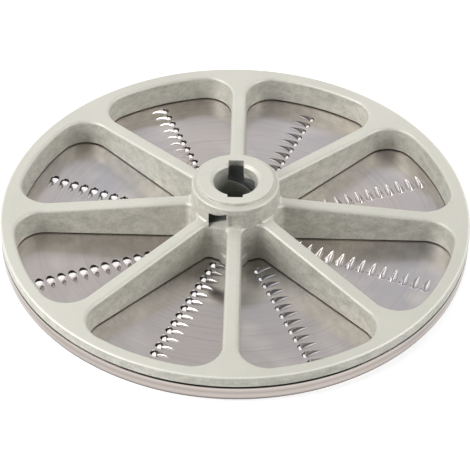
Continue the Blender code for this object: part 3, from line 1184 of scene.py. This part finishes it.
@dataclass
class GratingPlate:
    """The pressed stainless plate: flat sheet, punched teeth and a skirt round the rim."""

    outer_r: float = OUTER_R
    sheet: float = 1.0 * MM
    top: float = 3.0 * MM
    skirt_top: float = 10.0 * MM
    skirt_edge: float = 0.3 * MM
    bend_r: float = 1.8 * MM
    rows: int = 8
    per_row: int = 14
    pitch: float = 4.97 * MM
    first_r: float = 23.2 * MM
    stagger: tuple[float, float, float, float] = (0.0, 0.75, 0.25, 0.5)
    half_w: float = 1.85 * MM
    tail: float = 6.9 * MM
    hole_at: float = -0.2 * MM
    hole_front: float = 0.75 * MM
    nose: float = 1.75 * MM
    depth: float = 2.05 * MM
    thin: float = 0.1 * MM
    margin: float = 0.35 * MM
    grown: float = 0.25 * MM
    hollow_power: float = 2.4
    tail_power: float = 1.7
    tail_round: float = 0.8
    fall_mix: Point = (0.72, 0.28)
    lip_power: float = 0.15
    lip_drop: float = 0.005 * MM
    nose_reach: Point = (0.92, 0.45)
    sharp_degrees: float = 42.0
    screw_hole_r: float = SCREW_HOLE_R
    screw_place: float = BOSS_PLACE
    segments: int = 288
    hole_step: int = 9
    nose_steps: int = 8
    columns: tuple[float, ...] = (-1.0, -0.85, -0.62, -0.32, 0.0, 0.32, 0.62, 0.85, 1.0)
    sections: tuple[float, ...] = (0.04, 0.12, 0.26, 0.45, 0.64, 0.78, 0.88, 0.95, 1.0)

    def hollow(self, column: float) -> float:
        """Depth of the hollow across a tooth, as a share of its depth in the middle."""
        return 1.0 - abs(column) ** self.hollow_power

    def width_at(self, share: float) -> float:
        """Half width of a tooth, as a share of the full one, at a share of its length."""
        return (1.0 - (1.0 - share) ** self.tail_power) ** self.tail_round

    def lip_at(self, column: float) -> float:
        """Place along the tooth where a column ends, on the round edge of the hole."""
        return self.hole_at + self.hole_front * math.sqrt(max(0.0, 1.0 - column * column))

    def margin_loop(self) -> list[Point]:
        """Outline of the flat margin round a tooth, the same in the tooth and in the sheet.

        Returns:
            Points of the closed loop, as place along the row and place along the tooth.
        """
        length = self.tail - self.hole_at
        right: list[Point] = []
        for share in self.sections:
            wide = self.half_w * self.width_at(share) + self.margin
            right.append((wide, self.tail - length * share))
        loop = [(0.0, self.tail + self.margin)] + right
        steps = self.nose_steps
        for i in range(1, steps):
            angle = math.pi * i / steps
            wide = (self.half_w + self.margin) * math.cos(angle)
            loop.append((wide, self.hole_at - (self.nose + self.margin) * math.sin(angle)))
        return loop + [(-x, y) for x, y in reversed(right)]

    def tooth_skin(
        self, bm: bmesh.types.BMesh, grown: float, deep: float, base: float, reach: float
    ) -> list[bmesh.types.BMVert]:
        """Model one face of a tooth, from its flat margin to the edge of its hole.

        Args:
            bm: Mesh that takes the face.
            grown: How far this face lies outside the upper one.
            deep: Depth of the hollow at its lip.
            base: Height of the flat sheet on this side.
            reach: How far the round end of the hole goes, as a share of the nose.

        Returns:
            The vertices round the edge of the hole.
        """
        steps = self.nose_steps
        straight, curved = self.fall_mix
        tail = bm.verts.new((0, self.tail, base))
        margin = [bm.verts.new((x, y, base)) for x, y in self.margin_loop()]
        rows = []
        for share in self.sections:
            row = []
            for column in self.columns:
                across = (self.half_w + grown) * self.width_at(share) * column
                along = self.tail - (self.tail - self.lip_at(column)) * share
                fall = deep * (straight * share + curved * share**4) * self.hollow(column)
                row.append(bm.verts.new((across, along, base - fall)))
            rows.append(row)
        rings = []
        for level, (share, drop) in enumerate(((1.0, 0.0), (reach, -self.lip_drop))):
            right, left = rows[-1][-1 - level], rows[-1][level]
            middle = []
            for i in range(1, steps):
                angle = math.pi * i / steps
                turn = math.sin(angle)
                across = right.co.x * math.cos(angle)
                along = self.hole_at - (self.nose + grown * 0.5) * share * turn
                along += (right.co.y - self.hole_at) * (1.0 - turn) ** 2
                height = right.co.z + (base + drop - right.co.z) * turn**self.lip_power
                middle.append(bm.verts.new((across, along, height)))
            rings.append([right, *middle, left])
        count = len(rows)
        weave(bm, [tail] * len(self.columns), rows[0])
        for upper, lower in zip(rows, rows[1:]):
            weave(bm, upper, lower)
        weave(bm, [tail] + [row[-1] for row in rows], margin[: count + 1])
        weave(bm, [tail] + [row[0] for row in rows], [margin[0]] + margin[: -count - 1 : -1])
        weave(bm, margin[count : count + steps + 1], rings[0])
        weave(bm, rings[0], rings[1])
        return rows[-1][1:-1] + rings[1][1:-1]

    def tooth_patch(self) -> bpy.types.Object:
        """Model one tooth with both its faces, open only at its flat margin.

        Returns:
            The patch, with the middle of its hole near the origin and its tail on +Y.
        """
        bm = bmesh.new()
        above, below = self.nose_reach
        upper = self.tooth_skin(bm, 0.0, self.depth, 0.0, above)
        lower = self.tooth_skin(bm, self.grown, self.depth - self.thin, -self.sheet, below)
        weave(bm, upper + upper[:1], lower + lower[:1])
        bmesh.ops.recalc_face_normals(bm, faces=bm.faces)
        centres = {face: face.calc_center_median() for face in bm.faces}
        flattest = max(bm.faces, key=lambda face: centres[face].y + centres[face].z * 100)
        if flattest.normal.z < 0:
            bmesh.ops.reverse_faces(bm, faces=bm.faces)
        return make_object("tooth_patch", bm, outward=False)

    def tooth_place(self, row: int, index: int) -> Matrix:
        """Placement of a tooth in its row.

        Args:
            row: Number of the row, anticlockwise from the one left of the front rib.
            index: Number of the tooth, from the hub outwards.

        Returns:
            The matrix that carries the patch to its place.
        """
        shift = self.stagger[row % len(self.stagger)]
        radius = self.first_r + (index + shift) * self.pitch
        angle = (row - 0.5) * math.tau / self.rows - math.pi / 2
        return Matrix.Rotation(angle, 4, "Z") @ Matrix.Translation((radius, 0, self.top))

    def sheet_blank(self) -> bpy.types.Object:
        """Make both faces of the flat sheet, with the holes that the teeth fill, and the skirt.

        Returns:
            The blank.
        """
        bm = bmesh.new()
        flat_r = self.outer_r - self.sheet - self.bend_r
        bottom = self.top - self.sheet
        angles = [math.tau * i / self.segments for i in range(self.segments)]

        def loop(points: Iterable[Vector]) -> list[bmesh.types.BMEdge]:
            verts = [bm.verts.new(point) for point in points]
            return [bm.edges.new((a, b)) for a, b in zip(verts, verts[1:] + verts[:1])]

        def screw_ring(side: Side, height: float) -> list[Vector]:
            spot = Vector((0, side.value * self.screw_place, height))
            ring = [Vector((math.cos(a), math.sin(a), 0)) for a in angles[:: self.hole_step]]
            return [spot + point * self.screw_hole_r for point in ring]

        edges = loop(Vector((flat_r * math.cos(a), flat_r * math.sin(a), self.top)) for a in angles)
        outline = self.margin_loop()
        for row in range(self.rows):
            for index in range(self.per_row):
                place = self.tooth_place(row, index)
                edges += loop(place @ Vector((x, y, 0.0)) for x, y in outline)
        for side in Side:
            edges += loop(screw_ring(side, self.top))
        made = bmesh.ops.triangle_fill(
            bm, use_beauty=True, use_dissolve=False, edges=edges, normal=(0, 0, 1)
        )
        for face in made["geom"]:
            if isinstance(face, bmesh.types.BMFace) and face.normal.z < 0:
                face.normal_flip()
        geometry = bm.verts[:] + bm.edges[:] + bm.faces[:]
        copy = bmesh.ops.duplicate(bm, geom=geometry)["geom"]
        under = [item for item in copy if isinstance(item, bmesh.types.BMVert)]
        bmesh.ops.translate(bm, verts=under, vec=(0, 0, -self.sheet))
        under_faces = [item for item in copy if isinstance(item, bmesh.types.BMFace)]
        bmesh.ops.reverse_faces(bm, faces=under_faces)

        for side in Side:
            upper, lower = (
                [bm.verts.new(point) for point in screw_ring(side, height)]
                for height in (self.top, bottom)
            )
            for i in range(len(upper)):
                j = (i + 1) % len(upper)
                bm.faces.new((upper[i], upper[j], lower[j], lower[i]))

        inner = self.outer_r - self.sheet
        edge = self.skirt_edge
        outer_bend = self.bend_r + self.sheet
        profile = [
            *arc((flat_r, self.top + self.bend_r), self.bend_r, -90, 0, 8),
            (inner, self.skirt_top - edge),
            *arc((inner + edge, self.skirt_top - edge), edge, 180, 90, 3)[1:],
            *rounded(self.outer_r, self.skirt_top, edge, 3),
            *arc((flat_r, bottom + outer_bend), outer_bend, 0, -90, 8),
        ]
        revolve(bm, profile, self.segments)
        bmesh.ops.remove_doubles(bm, verts=bm.verts, dist=MERGE)
        return make_object("grating_plate_fine", bm, outward=False)

    def pattern_inputs(self) -> dict[str, tuple[str, Number]]:
        """Sizes that the tooth pattern takes, by name, with the type of each socket."""
        return {
            "Rows": ("NodeSocketInt", self.rows),
            "Teeth per row": ("NodeSocketInt", self.per_row),
            "Pitch": ("NodeSocketFloat", self.pitch),
            "First radius": ("NodeSocketFloat", self.first_r),
            "Level": ("NodeSocketFloat", self.top),
            "Weld": ("NodeSocketFloat", WELD),
        }

    def tooth_pattern(self, finish: bpy.types.Material) -> bpy.types.NodeTree:
        """Write the pattern that sets the teeth in their rows and welds them to the sheet.

        Args:
            finish: Material of the plate.

        Returns:
            The node tree.
        """
        tree = bpy.data.node_groups.new("tooth_pattern", "GeometryNodeTree")
        tree.is_modifier = True
        tree.interface.new_socket("Geometry", in_out="INPUT", socket_type="NodeSocketGeometry")
        tree.interface.new_socket("Tooth", in_out="INPUT", socket_type="NodeSocketObject")
        for name, (kind, value) in self.pattern_inputs().items():
            socket = tree.interface.new_socket(name, in_out="INPUT", socket_type=kind)
            socket.default_value = value
        tree.interface.new_socket("Geometry", in_out="OUTPUT", socket_type="NodeSocketGeometry")
        graph = NodeGraph(tree)
        group = graph.add("NodeGroupInput")
        given = {socket.name: Signal(graph, socket) for socket in group.outputs if socket.name}

        count = given["Rows"] * given["Teeth per row"]
        points = graph.node("GeometryNodePoints", inputs={"Count": count})
        index = graph.node("GeometryNodeInputIndex")
        row = ((index + 0.5) / given["Teeth per row"]).floor()
        place = index - row * given["Teeth per row"]
        switch = graph.add("GeometryNodeIndexSwitch", {"data_type": "FLOAT"})
        while len(switch.index_switch_items) < len(self.stagger):
            switch.index_switch_items.new()
        for i, share in enumerate(self.stagger):
            switch.inputs[i + 1].default_value = share
        tree.links.new(row.modulo(len(self.stagger)).socket, switch.inputs[0])
        shift = Signal(graph, switch.outputs[0])
        radius = given["First radius"] + (place + shift) * given["Pitch"]
        angle = (row - 0.5) * math.tau / given["Rows"] - math.pi / 2
        spot = {0: radius * angle.cosine(), 1: radius * angle.sine(), 2: given["Level"]}
        position = graph.node("ShaderNodeCombineXYZ", inputs=spot)
        inputs = {"Geometry": points, "Position": position}
        points = graph.node("GeometryNodeSetPosition", inputs=inputs)

        euler = graph.node("ShaderNodeCombineXYZ", inputs={2: angle})
        facing = graph.node("FunctionNodeEulerToRotation", inputs={0: euler})
        settings = {"transform_space": "ORIGINAL"}
        inputs = {"Object": given["Tooth"]}
        tooth = graph.node("GeometryNodeObjectInfo", settings, inputs, "Geometry")
        inputs = {"Points": points, "Instance": tooth, "Rotation": facing}
        teeth = graph.node("GeometryNodeInstanceOnPoints", inputs=inputs)
        real = graph.node("GeometryNodeRealizeInstances", inputs={0: teeth})
        joint = graph.add("GeometryNodeJoinGeometry")
        tree.links.new(given["Geometry"].socket, joint.inputs[0])
        tree.links.new(real.socket, joint.inputs[0])
        inputs = {"Geometry": Signal(graph, joint.outputs[0]), "Distance": given["Weld"]}
        welded = graph.node("GeometryNodeMergeByDistance", inputs=inputs)
        inputs = {"Geometry": welded, "Material": finish}
        dressed = graph.node("GeometryNodeSetMaterial", inputs=inputs)
        graph.add("NodeGroupOutput", inputs={0: dressed})
        return tree

    def build(self, finish: bpy.types.Material) -> bpy.types.Object:
        """Make the plate and dress it.

        Args:
            finish: Material of the plate.

        Returns:
            The finished piece.
        """
        piece = self.sheet_blank()
        patch = self.tooth_patch()
        pattern = self.tooth_pattern(finish)
        modifier = piece.modifiers.new("teeth", "NODES")
        modifier.node_group = pattern
        sockets = pattern.interface.items_tree
        named = {item.name: item.identifier for item in sockets if item.in_out == "INPUT"}
        modifier[named["Tooth"]] = patch
        for name, (_, value) in self.pattern_inputs().items():
            modifier[named[name]] = value
        settle_mesh(piece)
        bpy.data.objects.remove(patch, do_unlink=True)
        smooth(piece, self.sharp_degrees)
        coat(piece, finish)
        return piece


@dataclass
class PlateScrew:
    """A low-head screw that holds the plate on a boss."""

    side: Side
    place: float = BOSS_PLACE
    shank_r: float = 2.5 * MM
    seat: float = 1.7 * MM
    head_low: float = 0.4 * MM
    head_r: float = 4.5 * MM
    head_bevel: float = 0.1 * MM
    head_round: float = 0.9 * MM
    end: float = 13.0 * MM
    tip: float = 0.5 * MM
    tip_share: float = 0.8
    slot_size: tuple[float, float, float] = (12.0 * MM, 1.2 * MM, 1.6 * MM)
    slot_deep: float = 0.6 * MM
    segments: int = 48
    sharp_degrees: float = 40.0

    def build(self, finish: bpy.types.Material) -> bpy.types.Object:
        """Make the screw and dress it.

        Args:
            finish: Material of the screw.

        Returns:
            The finished piece.
        """
        bm = bmesh.new()
        curve = self.head_round
        profile = [
            (0.0, self.end),
            (self.shank_r * self.tip_share, self.end),
            (self.shank_r, self.end - self.tip),
            (self.shank_r, self.seat),
            (self.head_r - self.head_bevel, self.seat),
            (self.head_r, self.seat - self.head_bevel),
            *arc((self.head_r - curve, self.head_low + curve), curve, 0, -90, 6),
            (0.0, self.head_low),
        ]
        revolve(bm, profile, self.segments)
        depth = self.side.value * self.place
        bmesh.ops.translate(bm, verts=bm.verts, vec=(0, depth, 0))
        piece = make_object(f"plate_screw_{self.side.name.lower()}_fine", bm)
        bm = bmesh.new()
        size = Vector(self.slot_size)
        middle = self.head_low + self.slot_deep - size.z / 2
        add_box(bm, size, Matrix.Translation((0, depth, middle)))
        combine(piece, [(make_object("slot_tool", bm), Join.CUT)])
        smooth(piece, self.sharp_degrees)
        coat(piece, finish)
        return piece


@dataclass(frozen=True)
class Lamp:
    """A soft light that faces the disc: its place, width and height, and power in watts."""

    name: str
    at: tuple[float, float, float]
    size: Point
    power: float

    def hang(self) -> None:
        """Put the light in the scene."""
        data = bpy.data.lights.new(self.name, "AREA")
        data.shape = "RECTANGLE"
        data.size, data.size_y = self.size
        data.energy = self.power
        light = bpy.data.objects.new(self.name, data)
        bpy.context.scene.collection.objects.link(light)
        turn = (-Vector(self.at)).to_track_quat("-Z", "Y").to_matrix().to_4x4()
        light.matrix_world = Matrix.Translation(self.at) @ turn


@dataclass
class Studio:
    """White floor, soft lights and the camera at the photograph's angle."""

    camera_at: tuple[float, float, float] = (0.01002049, -0.69167654, 0.61869402)
    aim: tuple[float, float, float] = (0.0000857, -0.0018566, 0.003)
    roll: float = math.radians(0.77443)
    lens: float = 160.66504
    sensor: float = 36.0
    clip: Point = (0.01, 20.0)
    dome: tuple[Point, ...] = (
        (0.0, 1.0),
        (0.55, 1.0),
        (0.64, 0.5),
        (0.86, 0.45),
        (0.95, 0.72),
        (1.0, 0.62),
    )
    floor_size: float = 3.0
    floor_white: float = 0.92
    floor_grey: float = 0.6
    floor_glow: float = 0.62
    white_r: float = 90.0 * MM
    front_level: float = 0.11
    back_level: float = 1.19
    lamps: tuple[Lamp, ...] = (
        Lamp("overhead", (0.0, 0.25, 0.78), (0.42, 0.38), 0.5),
        Lamp("left", (-1.22, -0.53, 0.68), (0.6, 0.8), 16.0),
        Lamp("left_fill", (-0.9, -0.75, 0.95), (0.45, 0.45), 4.2),
        Lamp("right", (1.2, -0.5, 0.6), (0.6, 0.6), 10.5),
    )

    def camera(self) -> None:
        """Set up the camera."""
        data = bpy.data.cameras.new("camera")
        data.lens = self.lens
        data.sensor_width = self.sensor
        data.sensor_fit = "HORIZONTAL"
        data.clip_start, data.clip_end = self.clip
        camera = bpy.data.objects.new("camera", data)
        bpy.context.scene.collection.objects.link(camera)
        line = Vector(self.aim) - Vector(self.camera_at)
        view = line.to_track_quat("-Z", "Y").to_matrix().to_4x4()
        roll = Matrix.Rotation(self.roll, 4, "Z")
        camera.matrix_world = Matrix.Translation(self.camera_at) @ view @ roll
        bpy.context.scene.camera = camera

    def background(self) -> None:
        """Give the world a soft light: white walls, a grey band above them and a pale ceiling."""
        world = bpy.data.worlds.new("studio")
        world.use_nodes = True
        bpy.context.scene.world = world
        graph = NodeGraph(world.node_tree)
        _, depth, height = graph.parts(graph.node("ShaderNodeTexCoord", output="Generated"))
        stops = [(spot, self.grey(level)) for spot, level in self.dome]
        ramp = graph.node("ShaderNodeValToRGB", {"stops": stops}, {0: height.clamped(0.0, 1.0)})
        behind = depth.above(-0.45, 1.6)
        horizon = (1.0 - height * 9.0).clamped(0.0, 1.0)
        facing = height.above(0.45, 4.0) * 0.2 + horizon * 0.4
        level = self.front_level + behind * self.back_level + (1.0 - behind) * facing
        light = graph.node("ShaderNodeBackground", inputs={"Color": ramp, "Strength": level})
        graph.add("ShaderNodeOutputWorld", inputs={"Surface": light})

    @staticmethod
    def grey(level: float) -> Colour:
        """Colour of a neutral grey."""
        return (level, level, level)

    def floor(self) -> None:
        """Lay the floor, which glows where the camera or a reflection sees it."""
        bm = bmesh.new()
        bmesh.ops.create_grid(bm, x_segments=1, y_segments=1, size=self.floor_size)
        floor = make_object("floor", bm, outward=False)
        material, graph = start_material("floor_white")
        x, y, _ = graph.parts(graph.place())
        beyond = ((x * x + y * y) ** 0.5).above(self.white_r, 100.0)
        rays = graph.add("ShaderNodeLightPath")
        camera = Signal(graph, rays.outputs["Is Camera Ray"])
        glossy = Signal(graph, rays.outputs["Is Glossy Ray"])
        clear = Signal(graph, rays.outputs["Is Transmission Ray"])
        shown = (camera + glossy + clear).clamped(0.0, 1.0)
        near, far = opaque(self.grey(self.floor_white)), opaque(self.grey(self.floor_grey))
        white = graph.blend(near, far, beyond)
        paper = graph.node("ShaderNodeBsdfDiffuse", inputs={"Color": white})
        inputs = {"Color": opaque(self.grey(1.0)), "Strength": self.floor_glow}
        glow = graph.node("ShaderNodeEmission", inputs=inputs)
        lit = graph.node("ShaderNodeAddShader", inputs={0: paper, 1: glow})
        both = graph.node("ShaderNodeMixShader", inputs={0: shown, 1: paper, 2: lit})
        graph.add("ShaderNodeOutputMaterial", inputs={"Surface": both})
        floor.data.materials.append(material)

    def build(self) -> None:
        """Set up the whole studio."""
        self.camera()
        self.background()
        self.floor()
        for lamp in self.lamps:
            lamp.hang()
        bpy.context.scene.view_settings.view_transform = "Standard"


def main() -> None:
    """Build the disc's pieces, dress them and set up the studio."""
    logging.basicConfig(level=logging.INFO, format="%(name)s: %(message)s")
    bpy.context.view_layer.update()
    cast_alloy = CastAlloyFinish().material()
    brushed_steel = BrushedSteelFinish().material()
    turned_steel = TurnedSteelFinish().material()

    pieces = [
        (SpokedCasting().build(cast_alloy), "spoked_casting", "cast_alloy"),
        (GratingPlate().build(brushed_steel), "grating_plate", "brushed_steel"),
        (PlateScrew(Side.FRONT).build(turned_steel), "plate_screw_front", "screw_steel"),
        (PlateScrew(Side.REAR).build(turned_steel), "plate_screw_rear", "screw_steel"),
    ]
    for piece, node, slot in pieces:
        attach(piece, "root")
        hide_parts(node)
        triangles = sum(len(face.vertices) - 2 for face in piece.data.polygons)
        LOG.info("%s: %d triangles, stands for %s", piece.name, triangles, node)

    Studio().build()


if __name__ == "__main__":
    main()
